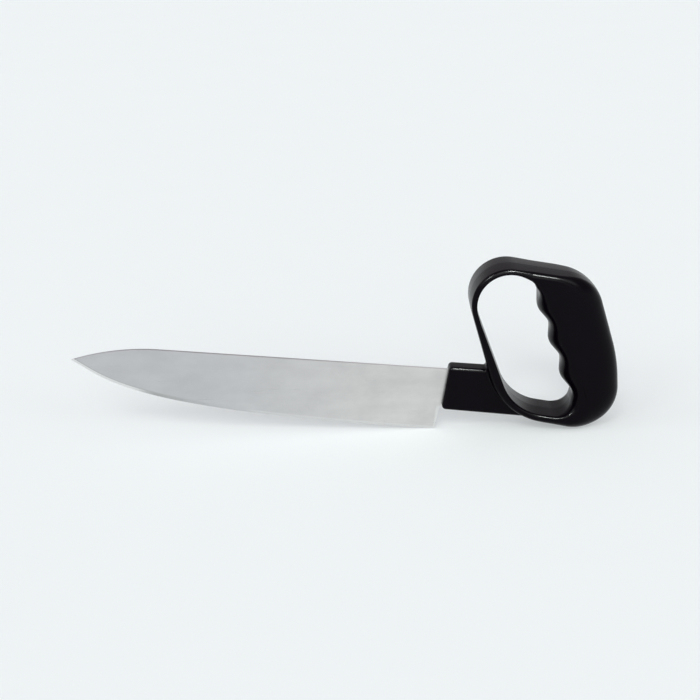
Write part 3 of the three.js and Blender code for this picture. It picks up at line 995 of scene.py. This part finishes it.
@dataclass
class LoopHandle:
    """The two mouldings: tang block, strap round the knuckles, and grooved grip."""

    blade: Blade
    width: float = 26.4
    outer_edge_share: float = 0.5
    inner_edge_share: float = 0.35
    largest_edge: float = 3.0
    largest_rounded_share: float = 0.9
    draft: float = 1.2
    clear_of_cad: float = 0.07
    outside: tuple[Corner, ...] = (
        Corner(29.2, -18.9, 37.2),
        Corner(8.7, 35.2, 31.8),
        Corner(-1.3, 65.75, 20.4),
        Corner(73.8, 59.3, 23.9),
        Corner(91.4, 14.1, 92.0),
        Corner(98.4, -33.2, 22.2),
    )
    opening: tuple[Corner, ...] = (
        Corner(36.6, -17.1, 26.3),
        Corner(14.1, 31.2, 34.8),
        Corner(-2.5, 73.8, 17.15),
        Corner(39.7, 56.0, 6.9),
        Corner(73.3, -20.3, 8.8),
    )
    grip_top: int = 3
    grip_foot: int = 4
    centre_x: float = 39.4
    centre_z: float = 20.8
    back_round: EdgeRound = EdgeRound(14.5, 0.89)
    front_round: EdgeRound = EdgeRound(7.5, 0.9)
    back_span: GripSpan = GripSpan(74.0, 33.0, -45.0, -79.0)
    front_span: GripSpan = GripSpan(92.0, 70.0, -38.0, -62.0)
    finger_pitch: float = 20.6
    finger_crests: int = 3
    first_crest: float = 17.0
    groove_depth: float = 2.9
    groove_fade: float = 6.0
    groove_at_side: float = 0.25
    front_crown: float = 0.7
    block_thickness: float = 10.4
    block_above_spine: float = 2.7
    block_height: float = 25.0
    block_lean: float = 4.9
    block_toe: float = -75.0
    block_edge: float = 1.8
    block_corner: float = 0.4
    block_fillet: float = 2.4
    fillet_sink: float = 0.1
    fillet_root: float = 1.2
    # Closer than the CAD's 0.1 mm, because the weld leaves no gap to see through.
    parting_gap: float = 0.01
    fit_gap: float = 0.3
    slot_lead: float = 5.0
    pin_length: float = 8.0
    spigot_diameter: float = 6.0
    spigot_length: float = 6.0
    spigot_root: float = 3.0
    spigot_chamfer: float = 0.8
    spigot_angles: tuple[float, ...] = (22.0, -26.0)
    half_space_reach: float = 400.0
    stations: int = 640
    outline_step: float = 0.1
    round_steps: int = 14
    corner_steps: int = 10
    path_steps: int = 40
    rod_sides: int = 48
    slope_points: int = 5
    sharpest: float = 32.0
    finish: MouldedBlackAbs = field(default_factory=MouldedBlackAbs)

    def __post_init__(self) -> None:
        """Works out the outlines that all else is measured from, and how the knife stands."""
        self.start = np.array([self.blade.handle_start, self.blade.height])
        self.centre = self.start + (self.centre_x, self.centre_z)
        self.outside_line = self.outline(self.outside)
        self.inner, self.outer = self.station_rings(self.outline(self.opening))
        self.middle = (self.inner + self.outer) / 2
        self.pose = self.rest_pose()

    def outline(self, corners: tuple[Corner, ...]) -> np.ndarray:
        """A closed outline of straight runs and rounded corners, evenly spaced.

        Args:
            corners: the outline's corners, clockwise.

        Returns:
            Points as (point, xz), in millimetres.
        """
        points = np.array([self.start + (c.x, c.z) for c in corners])
        runs = []
        for i, corner in enumerate(corners):
            here = points[i]
            back = points[i - 1] - here
            ahead = points[(i + 1) % len(points)] - here
            back, ahead = back / np.linalg.norm(back), ahead / np.linalg.norm(ahead)
            runs.append(corner_arc(here, back, ahead, corner.radius, self.outline_step))
        line = np.concatenate(runs)
        along = np.concatenate([[0], np.cumsum(step_lengths(line))])
        return respaced(line, along, round(along[-1] / self.outline_step))

    def angle_of(self, points: np.ndarray) -> np.ndarray:
        """Directions of points from the opening's centre, in degrees."""
        offset = points - self.centre
        return np.degrees(np.arctan2(offset[..., 1], offset[..., 0]))

    def on_outside(self, angles: np.ndarray) -> np.ndarray:
        """Where the outside outline crosses rays from the opening's centre.

        Args:
            angles: directions in degrees.

        Returns:
            One point for each direction.
        """
        around = self.angle_of(self.outside_line)
        reach = np.linalg.norm(self.outside_line - self.centre, axis=1)
        far = np.interp(angles, *sorted_pair(around, reach), period=360)
        turn = np.radians(angles)
        return self.centre + far[..., None] * np.stack([np.cos(turn), np.sin(turn)], axis=-1)

    def station_rings(self, opening_line: np.ndarray) -> tuple[np.ndarray, np.ndarray]:
        """Matched points round the opening and the outside.

        Stations are spread by the mean of both outlines' lengths, so neither is coarse.

        Args:
            opening_line: the opening's outline.

        Returns:
            The opening's points and the outside's points.
        """
        outside_line = self.on_outside(self.angle_of(opening_line))
        spread = np.zeros(len(opening_line) + 1)
        for line in (opening_line, outside_line):
            steps = step_lengths(line)
            spread[1:] += np.cumsum(steps) / steps.sum()
        inner = respaced(opening_line, spread, self.stations)
        return inner, self.on_outside(self.angle_of(inner))

    def crest(self, points: np.ndarray) -> np.ndarray:
        """How far the finger crests stand out of the grip's front.

        Args:
            points: points round the opening.

        Returns:
            How far at each point, which is 0 away from the grip and below 0 in a groove.
        """
        top, foot = (
            self.start + (self.opening[number].x, self.opening[number].z)
            for number in (self.grip_top, self.grip_foot)
        )
        run = (foot - top) / np.linalg.norm(foot - top)
        offset = points - top
        beyond = offset @ run - self.first_crest
        first = -self.finger_pitch / 2
        last = (self.finger_crests - 0.5) * self.finger_pitch
        rise = smoothstep(beyond, first - self.groove_fade, first)
        fall = 1 - smoothstep(beyond, last, last + self.groove_fade)
        aside = np.abs(offset[:, 0] * run[1] - offset[:, 1] * run[0])
        wave = np.cos(math.tau * beyond / self.finger_pitch)
        out = wave * self.groove_depth / 2 + self.front_crown
        return np.where(aside < self.finger_pitch / 2, rise * fall * out, 0)

    def section_corner(
        self,
        ring: np.ndarray,
        into: np.ndarray,
        depth: np.ndarray,
        across: np.ndarray,
        crest: np.ndarray,
    ) -> tuple[np.ndarray, np.ndarray]:
        """One rounded corner of every section, from the parting plane to its flat side.

        Args:
            ring: the wall's points.
            into: unit directions into the material.
            depth: how deep the corner rounds over at each station.
            across: how far the rounding reaches in from the side.
            crest: how far the finger crests stand out.

        Returns:
            Points as (station, step, xz), and how far each is from the middle plane.
        """
        turn = np.linspace(0, math.pi / 2, self.round_steps + 1)
        off = self.width / 2 - across[:, None] * (1 - np.sin(turn))
        off = np.concatenate([np.zeros((len(ring), 1)), off], axis=1)
        turn = np.concatenate([[0], turn])
        groove = crest[:, None] * (1 + (self.groove_at_side - 1) * np.sin(turn))
        fall = off * math.tan(math.radians(self.draft))
        sunk = depth[:, None] * (1 - np.cos(turn)) - groove + fall + self.clear_of_cad
        return ring[:, None] + sunk[..., None] * into[:, None], off

    def loop(self) -> Object:
        """Lofts the strap and grip.

        Returns:
            A closed ring.
        """
        back = self.back_span.share(self.angle_of(self.outer))
        front = self.front_span.share(self.angle_of(self.inner))
        thickness = np.sum((self.outer - self.inner) * normals(self.outer), axis=1)
        outer_edge = np.minimum(thickness * self.outer_edge_share, self.largest_edge)
        inner_edge = np.minimum(thickness * self.inner_edge_share, self.largest_edge)
        outer_depth = blend(outer_edge, self.back_round.depth, back)
        inner_depth = blend(inner_edge, self.front_round.depth, front)
        outer_across = blend(outer_edge, self.back_round.share * self.width / 2, back)
        inner_across = blend(inner_edge, self.front_round.share * self.width / 2, front)
        room = np.minimum(1, self.largest_rounded_share * thickness / (outer_depth + inner_depth))
        outer, outer_off = self.section_corner(
            self.outer, -normals(self.outer), room * outer_depth, outer_across, np.zeros_like(room)
        )
        inner, inner_off = self.section_corner(
            self.inner, normals(self.inner), room * inner_depth, inner_across, self.crest(self.inner)
        )
        rings = np.concatenate(
            [
                stand(outer, -outer_off),
                stand(inner, -inner_off)[:, :0:-1],
                stand(inner, inner_off),
                stand(outer, outer_off)[:, :0:-1],
            ],
            axis=1,
        )
        return loft(self.pose.to_row(rings), True, "loop")

    def block_profile(self, inset: float) -> np.ndarray:
        """The block's side view, drawn in along its front, top and bottom.

        Its back runs inside the strap, from the toe up to the block's top.

        Args:
            inset: how far it is drawn in.

        Returns:
            Points as (point, xz).
        """
        block_top = self.blade.height + self.block_above_spine
        lean = math.tan(math.radians(self.block_lean))
        top, bottom = block_top - inset, block_top - self.block_height + inset
        front_top = np.array([self.blade.handle_start + self.block_above_spine * lean + inset, top])
        front_bottom = np.array([front_top[0] - (top - bottom) * lean, bottom])
        toe = self.on_outside(np.array(self.block_toe))
        is_inside = (self.middle[:, 1] < block_top - self.block_edge) & (self.middle[:, 0] < toe[0])
        hidden = self.middle[is_inside]
        hidden = hidden[np.argsort(-hidden[:, 0])]
        top_back = np.array([hidden[-1, 0], top])
        toe_in = toe + (0, inset)
        radius = self.block_corner + self.block_edge - inset
        low = between_points(front_top, front_bottom, toe_in, radius, self.corner_steps)
        high = between_points(top_back, front_top, front_bottom, radius, self.corner_steps)
        return np.concatenate([low, [toe_in], hidden, [top_back], high])

    def block(self) -> Object:
        """Lofts the tang block across the knife, with rounded edges.

        Returns:
            A closed block.
        """
        rings = []
        for turn in np.linspace(0, math.pi / 2, self.corner_steps + 1):
            y = self.block_thickness / 2 - self.block_edge * (1 - math.sin(turn))
            profile = self.block_profile(self.block_edge * (1 - math.cos(turn)))
            rings.append(np.insert(profile, 1, y, axis=1))
        far = np.array(rings)
        near = far[::-1] * (1, -1, 1)
        return loft(self.pose.to_row(np.concatenate([near, far])[::-1]), False, "block")

    def strap_face(self, height: float) -> tuple[np.ndarray, np.ndarray]:
        """The strap's outer face at a height.

        Args:
            height: above the heel of the edge.

        Returns:
            The point there, and the direction up along the face.
        """
        line = self.outside_line
        before = np.roll(line, 1, 0)
        number = int(np.argmax((line[:, 1] >= height) & (before[:, 1] < height)))
        above, below = line[number], before[number]
        point = below + (above - below) * (height - below[1]) / (above[1] - below[1])
        up = line[(number + self.slope_points) % len(line)] - line[number - self.slope_points]
        return point, up / np.linalg.norm(up)

    def fillet(self) -> Object:
        """Sweeps the hollow fillet where the block runs into the strap.

        Returns:
            A closed strip over both sides and the top of the block.
        """
        half = self.block_thickness / 2
        block_top = self.blade.height + self.block_above_spine
        lowest = block_top - self.block_height + self.block_edge
        shoulder = block_top - self.block_edge
        path = [(z, half, 0.0) for z in np.linspace(lowest, shoulder, self.path_steps, endpoint=False)]
        # Halfway between the block's own steps, so that no two edges cross in a point
        for turn in (np.arange(self.corner_steps) + 0.5) / self.corner_steps * math.pi / 2:
            y = half - self.block_edge * (1 - math.cos(turn))
            path.append((shoulder + self.block_edge * math.sin(turn), y, turn))
        path += [(z, -y, math.pi - turn) for z, y, turn in reversed(path)]
        forward = np.array([-1.0, 0.0, 0.0])
        rings = []
        for z, y, turn in path:
            point, up = self.strap_face(z)
            root = np.array([point[0], y, point[1]])
            away = np.array([up[0] * math.sin(turn), math.cos(turn), up[1] * math.sin(turn)])
            on_strap = root + away * self.block_fillet - forward * self.fillet_sink
            on_block = root + forward * self.block_fillet - away * self.fillet_sink
            t = np.linspace(0, 1, self.corner_steps + 1)[:, None]
            hollow = on_strap * (1 - t) ** 2 + root * 2 * t * (1 - t) + on_block * t * t
            inside = root - (forward + away) * self.fillet_root
            rings.append(np.concatenate([[inside], hollow]))
        return loft(self.pose.to_row(np.array(rings)), False, "fillet")

    def tang_space(self) -> list[Object]:
        """The slot for the tang and the blind bores for its dowels.

        Returns:
            Closed cutting bodies.
        """
        blade = self.blade
        half = blade.spine_thickness / 2 + self.fit_gap
        low = (blade.handle_start - self.slot_lead, blade.height - blade.tang_height - self.fit_gap)
        high = (blade.handle_start + blade.tang_length + self.fit_gap, blade.height + self.fit_gap)
        corners = np.array([(low[0], low[1]), (high[0], low[1]), high, (low[0], high[1])])
        slot = np.array([np.insert(corners, 1, y, axis=1) for y in (half, -half)])
        cutters = [loft(self.pose.to_row(slot), False, "tang_slot")]
        reach = self.pin_length / 2 + self.fit_gap
        radius = blade.pin_diameter / 2 + self.fit_gap
        for along in (blade.front_pin, blade.rear_pin):
            place = np.array([blade.handle_start + along, blade.height - blade.pin_drop])
            cutters.append(self.rod(place, [(radius, -reach), (radius, reach)], "pin_bore"))
        return cutters

    def rod(self, place: np.ndarray, steps: list[tuple[float, float]], name: str) -> Object:
        """A round body across the knife.

        Args:
            place: its axis in the side view.
            steps: radius and distance from the middle plane, from the near end on.
            name: the object's name.

        Returns:
            A closed body.
        """
        turn = -np.linspace(0, math.tau, self.rod_sides, endpoint=False)
        rings = []
        for radius, y in steps:
            x = place[0] + radius * np.cos(turn)
            z = place[1] + radius * np.sin(turn)
            rings.append(np.stack([x, np.full_like(x, y), z], axis=-1))
        return loft(self.pose.to_row(np.array(rings)), False, name)

    def spigot_places(self) -> list[np.ndarray]:
        """Where the near half's pegs stand, in the side view."""
        angles = self.angle_of(self.middle)
        return [self.middle[np.argmin(np.abs(angles - angle))] for angle in self.spigot_angles]

    def half_space(self, side: Side) -> Object:
        """All the space on one side of the parting plane, as a closed box.

        Args:
            side: which side.

        Returns:
            The box.
        """
        reach = self.half_space_reach * MM
        near_y = side.value * self.parting_gap / 2 * MM
        far_y = side.value * self.width * MM
        square = np.array([(-reach, -reach), (reach, -reach), (reach, reach), (-reach, reach)])
        walls = sorted((near_y, far_y), reverse=True)
        rings = np.array([np.insert(square, 1, y, axis=1) for y in walls])
        return loft(rings, False, "half_space")

    def half(self, side: Side, material: Material) -> Object:
        """Makes one moulding, hangs it on the root body and hides its CAD node.

        Args:
            side: which of the two.
            material: the handle's finish.

        Returns:
            The moulding.
        """
        base = self.loop()
        steps: list[tuple[str, Object]] = [
            ("UNION", self.block()),
            ("UNION", self.fillet()),
        ]
        steps += [("DIFFERENCE", cutter) for cutter in self.tang_space()]
        steps.append(("INTERSECT", self.half_space(side)))
        radius, length = self.spigot_diameter / 2, self.spigot_length
        for place in self.spigot_places():
            if side is Side.NEAR:
                peg = [
                    (radius, -self.spigot_root),
                    (radius, length - self.spigot_chamfer),
                    (radius - self.spigot_chamfer, length),
                ]
                steps.append(("UNION", self.rod(place, peg, "spigot")))
            else:
                wide = radius + self.fit_gap
                hole = [(wide, -self.fit_gap), (wide, length + self.fit_gap)]
                steps.append(("DIFFERENCE", self.rod(place, hole, "socket")))
        for number, (operation, tool) in enumerate(steps):
            cut = base.modifiers.new(f"step_{number}", "BOOLEAN")
            cut.operation = operation
            cut.solver = "EXACT"
            cut.object = tool
        name = f"handle_{side.name.lower()}_moulding"
        mesh = evaluated_mesh(base, name)
        for done in (base, *[tool for _, tool in steps]):
            bpy.data.objects.remove(done)
        mesh.materials.clear()
        mesh.materials.append(material)
        smooth_shading(mesh, self.sharpest)
        piece = show(mesh, name)
        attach(piece, BODY)
        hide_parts(f"handle_half_{side.name.lower()}")
        return piece

    def rest_pose(self) -> RestPose:
        """Works out how the knife stands on its heel and the grip's foot.

        Returns:
            The pose in which both are level, with the tip where the CAD blade's is.
        """
        under = self.outside_line[self.outside_line[:, 0] > self.centre[0]]
        lean = float(np.min(np.arctan2(under[:, 1], under[:, 0])))
        tip_x, tip_z = -self.blade.length, self.blade.height - self.blade.tip_drop
        tip_along = tip_x * math.cos(lean) + tip_z * math.sin(lean)
        return RestPose(lean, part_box("blade")[0].x / MM - tip_along)

    def build(self) -> list[Object]:
        """Makes both mouldings.

        Returns:
            The near and the far moulding.
        """
        material = self.finish.material()
        return [self.half(side, material) for side in Side]


def sorted_pair(keys: np.ndarray, values: np.ndarray) -> tuple[np.ndarray, np.ndarray]:
    """Two lists in the order of the first."""
    order = np.argsort(keys)
    return keys[order], values[order]


def step_lengths(line: np.ndarray) -> np.ndarray:
    """How far it is from each point of a closed line to the next."""
    return np.linalg.norm(np.roll(line, -1, 0) - line, axis=1)


def respaced(line: np.ndarray, along: np.ndarray, count: int) -> np.ndarray:
    """Points spread evenly round a closed line.

    Args:
        line: the line's points, as (point, xz).
        along: how far round each of them is, and then the whole way round.
        count: how many points to spread.

    Returns:
        The new points.
    """
    even = np.linspace(0, along[-1], count, endpoint=False)
    closed = np.concatenate([line, line[:1]])
    return np.stack([np.interp(even, along, closed[:, k]) for k in (0, 1)], axis=1)


def stand(side_view: np.ndarray, y: np.ndarray) -> np.ndarray:
    """Puts side-view points at distances from the middle plane."""
    return np.stack([side_view[..., 0], y, side_view[..., 1]], axis=-1)


def normals(ring: np.ndarray) -> np.ndarray:
    """Unit normals of a clockwise ring.

    Args:
        ring: points as (point, xz).

    Returns:
        One direction for each point, away from the ring's centre.
    """
    along = np.roll(ring, -1, 0) - np.roll(ring, 1, 0)
    along /= np.linalg.norm(along, axis=1, keepdims=True)
    return np.stack([-along[:, 1], along[:, 0]], axis=1)


def corner_arc(
    here: np.ndarray, back: np.ndarray, ahead: np.ndarray, radius: float, step: float
) -> np.ndarray:
    """The arc that rounds off a corner.

    Args:
        here: the corner.
        back: unit direction to the point before it.
        ahead: unit direction to the point after it.
        radius: the arc's radius.
        step: the longest distance between its points.

    Returns:
        Points along the arc.
    """
    half = math.acos(float(back @ ahead)) / 2
    bisector = (back + ahead) / np.linalg.norm(back + ahead)
    centre = here + bisector * radius / math.sin(half)
    first = here + back * radius / math.tan(half) - centre
    last = here + ahead * radius / math.tan(half) - centre
    start = math.atan2(first[1], first[0])
    turn = (math.atan2(last[1], last[0]) - start + math.pi) % math.tau - math.pi
    count = max(FEWEST_ARC_POINTS, math.ceil(abs(turn) * radius / step) + 1)
    angles = start + turn * np.linspace(0, 1, count)
    return centre + radius * np.stack([np.cos(angles), np.sin(angles)], axis=1)


def between_points(
    before: np.ndarray, here: np.ndarray, after: np.ndarray, radius: float, steps: int
) -> np.ndarray:
    """The arc that rounds off a corner between two other points, in a number of steps.

    Args:
        before: the point before the corner.
        here: the corner.
        after: the point after it.
        radius: the arc's radius.
        steps: how many steps it has.

    Returns:
        Points along the arc.
    """
    back = (before - here) / np.linalg.norm(before - here)
    ahead = (after - here) / np.linalg.norm(after - here)
    turn = math.pi - math.acos(float(back @ ahead))
    return corner_arc(here, back, ahead, radius, turn * radius / steps * STEP_SLACK)


# Dowels


@dataclass
class TangPins:
    """The two dowels through the tang, kept as the CAD made them."""

    finish: TurnedPinSteel = field(default_factory=TurnedPinSteel)

    def dress(self) -> list[Object]:
        """Gives both CAD nodes their finish.

        Returns:
            The two nodes.
        """
        material = self.finish.material()
        pins = [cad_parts[name] for name in ("tang_pin_front", "tang_pin_rear")]
        for pin in pins:
            pin.data.materials.clear()
            pin.data.materials.append(material)
        return pins


# Studio


@dataclass(frozen=True)
class Lamp:
    """A broad light: its strength, and its angles in degrees.

    The angle is how wide it looks from the object, the tilt is how far it leans from
    overhead towards the camera, and the turn is how far it is swung about the vertical.
    """

    name: str
    strength: float
    angle: float
    tilt: float
    turn: float


@dataclass
class Studio:
    """Floor, light and camera."""

    floor_reach: float = 8000.0
    lamps: tuple[Lamp, ...] = (
        Lamp("key_box", 0.57, 15.0, 46.0, -17.0),
        Lamp("front_box", 0.50, 24.0, 58.0, 0.0),
        Lamp("front_left_box", 0.53, 24.0, 56.0, -42.0),
        Lamp("front_right_box", 0.46, 24.0, 60.0, 45.0),
        Lamp("low_box", 1.17, 40.0, 72.0, 0.0),
        Lamp("left_box", 0.43, 30.0, 52.0, -80.0),
    )
    highlights: tuple[Lamp, ...] = (
        Lamp("strip_right", 6.0, 7.0, 35.0, 30.0),
        Lamp("strip_inner", 8.0, 7.0, 35.0, 20.0),
        Lamp("strip_middle", 3.5, 7.0, 35.0, 8.0),
        Lamp("strip_left", 3.0, 7.0, 50.0, -42.0),
    )
    lamp_colour: str = "#f8fdfb"
    sky_colour: str = "#fbf6fb"
    horizon_colour: str = "#eff3f4"
    horizon_low: float = 0.08
    horizon_high: float = 0.22
    sky_left: float = 0.7
    sky_right: float = 0.3
    fill_strength: float = 0.48
    camera_distance: float = 1000.0
    camera_target: tuple[float, float, float] = (2.62, 0.0, 47.91)
    camera_yaw: float = -0.88
    camera_elevation: float = 20.29
    camera_roll: float = -1.73
    focal_pixels: float = 1837.75
    sensor_width: float = 36.0
    view_reach: float = 100000.0
    finish: PaleSweepPaint = field(default_factory=PaleSweepPaint)

    def floor(self) -> Object:
        """Lays the floor, which isn't part of the object.

        Returns:
            The floor.
        """
        reach = self.floor_reach * MM
        mesh = bpy.data.meshes.new("floor")
        corners = [(-reach, -reach, 0), (reach, -reach, 0), (reach, reach, 0), (-reach, reach, 0)]
        mesh.from_pydata(corners, [], [(0, 1, 2, 3)])
        mesh.materials.append(self.finish.material())
        floor = show(mesh, "floor")
        return floor

    def hang(self, lamp: Lamp) -> Object:
        """Hangs one light that reaches the whole floor evenly.

        Args:
            lamp: the light's sizes.

        Returns:
            The light.
        """
        data = bpy.data.lights.new(lamp.name, "SUN")
        data.energy = lamp.strength
        data.angle = math.radians(lamp.angle)
        data.color = linear(self.lamp_colour)[:3]
        light = bpy.data.objects.new(lamp.name, data)
        light.rotation_euler = (math.radians(lamp.tilt), 0, math.radians(lamp.turn))
        bpy.context.scene.collection.objects.link(light)
        return light

    def edge_lights(self, pieces: list[Object]) -> None:
        """Hangs the small lights that draw highlights along the edges of some pieces.

        Args:
            pieces: the only pieces that they reach.
        """
        reached = bpy.data.collections.new("edge_lit")
        for piece in pieces:
            reached.objects.link(piece)
        for lamp in self.highlights:
            light = self.hang(lamp)
            light.visible_diffuse = False
            light.light_linking.receiver_collection = reached

    def sky(self) -> None:
        """Fills the room with even light, dimmer on matt surfaces than it looks."""
        world = bpy.data.worlds.new("studio_room")
        world.use_nodes = True
        tree = world.node_tree
        room = tree.nodes["Background"]
        towards = add_node(tree, "ShaderNodeTexCoord", {}).outputs["Generated"]
        direction = add_node(tree, "ShaderNodeSeparateXYZ", {0: towards}).outputs
        rise = {"Value": direction["Z"], "From Min": self.horizon_low, "From Max": self.horizon_high}
        above = add_node(tree, "ShaderNodeMapRange", rise).outputs[0]
        tones = {"Factor": above, 6: linear(self.horizon_colour), 7: linear(self.sky_colour)}
        colour = add_node(tree, "ShaderNodeMix", tones, data_type="RGBA").outputs[2]
        # What is seen directly is white along the horizon, and above it dims from left to right.
        ends = {"To Min": self.sky_left, "To Max": self.sky_right}
        sides = {"Value": direction["X"], "From Min": -1.0, **ends}
        side = add_node(tree, "ShaderNodeMapRange", sides).outputs[0]
        room_seen = {"Value": above, "To Min": 1.0, "To Max": side}
        bright = add_node(tree, "ShaderNodeMapRange", room_seen).outputs[0]
        lit = {"Value": seen_directly(tree), "To Min": self.fill_strength, "To Max": bright}
        level = add_node(tree, "ShaderNodeMapRange", lit).outputs[0]
        tree.links.new(colour, room.inputs["Color"])
        tree.links.new(level, room.inputs["Strength"])
        bpy.context.scene.world = world

    def camera(self) -> Object:
        """Sets the camera where the photograph was taken from.

        Returns:
            The camera.
        """
        data = bpy.data.cameras.new("camera")
        data.sensor_width = self.sensor_width
        data.lens = self.sensor_width * self.focal_pixels / IMAGE_SIDE
        data.clip_end = self.view_reach * MM
        yaw, up = math.radians(self.camera_yaw), math.radians(self.camera_elevation)
        back = Vector((math.sin(yaw) * math.cos(up), -math.cos(yaw) * math.cos(up), math.sin(up)))
        right = Vector((math.cos(yaw), math.sin(yaw), 0))
        above = back.cross(right)
        roll = math.radians(self.camera_roll)
        across = right * math.cos(roll) + above * math.sin(roll)
        upright = above * math.cos(roll) - right * math.sin(roll)
        camera = bpy.data.objects.new("camera", data)
        turn = Matrix((across, upright, back)).transposed().to_4x4()
        target = Vector(self.camera_target) * MM
        camera.matrix_world = Matrix.Translation(target + back * self.camera_distance * MM) @ turn
        bpy.context.scene.collection.objects.link(camera)
        bpy.context.scene.camera = camera
        return camera

    def build(self) -> None:
        """Sets up the studio and the plain view transform."""
        bpy.context.scene.view_settings.view_transform = "Standard"
        self.floor()
        for lamp in self.lamps:
            self.hang(lamp)
        self.sky()
        self.camera()


def main() -> None:
    """Builds the studio and the knife, and reports each piece."""
    logging.basicConfig(level=logging.INFO, format="%(name)s: %(message)s")
    studio = Studio()
    studio.build()
    blade = Blade()
    handle = LoopHandle(blade)
    LOG.info("stands at %.3f degrees", math.degrees(handle.pose.lean))
    mouldings = handle.build()
    studio.edge_lights(mouldings)
    pieces = [blade.build(handle.pose), *mouldings, *TangPins().dress()]
    for piece in pieces:
        LOG.info("%s: %d faces", piece.name, len(piece.data.polygons))


if __name__ == "__main__":
    main()
